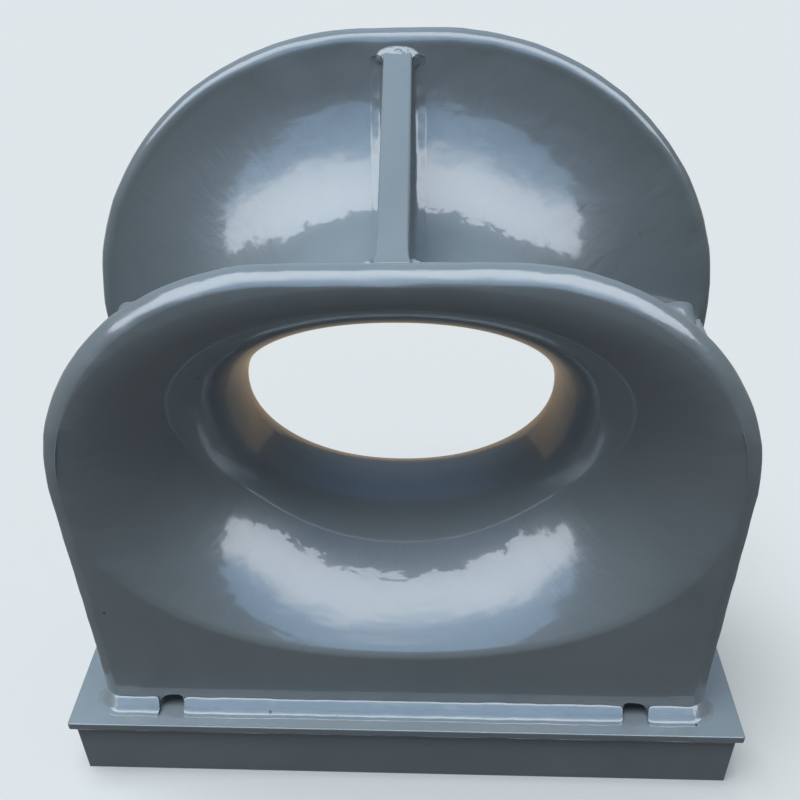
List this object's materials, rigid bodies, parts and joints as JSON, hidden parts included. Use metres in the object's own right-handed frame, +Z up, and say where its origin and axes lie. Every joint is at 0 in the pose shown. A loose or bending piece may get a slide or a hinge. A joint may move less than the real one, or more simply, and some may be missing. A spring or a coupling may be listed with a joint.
{
  "type": "panama chock",
  "caption": "Closed deck fairlead with a flared oval opening between two tall lips, a rib over the throat and a welded box base.",
  "frame": {"origin": "on the deck, under the middle of the base", "axes": "+X across the opening to the right seen from the low lip, +Y through the opening from the low lip to the high lip, +Z up from the deck"},
  "size_m": [0.85, 0.36, 0.86],
  "materials": {
    "bell_paint": "glossy",
    "plate_paint": "glossy",
    "weld_paint": "glossy",
    "inner_paint": "semi-gloss"
  },
  "bodies": {
    "root": {"base_plate": "plate_paint", "base_web_center": "inner_paint", "base_web_left": "inner_paint", "base_web_right": "inner_paint", "front_foot_weld_center": "weld_paint", "front_foot_weld_left": "weld_paint", "front_foot_weld_right": "weld_paint", "front_trumpet": "bell_paint", "lower_rib": "plate_paint", "rear_foot_weld_center": "weld_paint", "rear_foot_weld_left": "weld_paint", "rear_foot_weld_right": "weld_paint", "rear_trumpet": "bell_paint", "rib_end_weld": "weld_paint", "rib_toe_weld": "weld_paint", "rib_weld_left": "weld_paint", "rib_weld_right": "weld_paint", "shelf_left": "plate_paint", "shelf_right": "plate_paint", "shelf_weld_left": "weld_paint", "shelf_weld_right": "weld_paint", "side_plate_left": "plate_paint", "side_plate_right": "plate_paint", "side_weld_left": "weld_paint", "side_weld_right": "weld_paint", "skirt_front": "plate_paint", "skirt_left": "plate_paint", "skirt_rear": "plate_paint", "skirt_right": "plate_paint", "skirt_weld": "weld_paint", "throat_weld": "weld_paint", "top_rib": "plate_paint"}
  },
  "joints": []
}
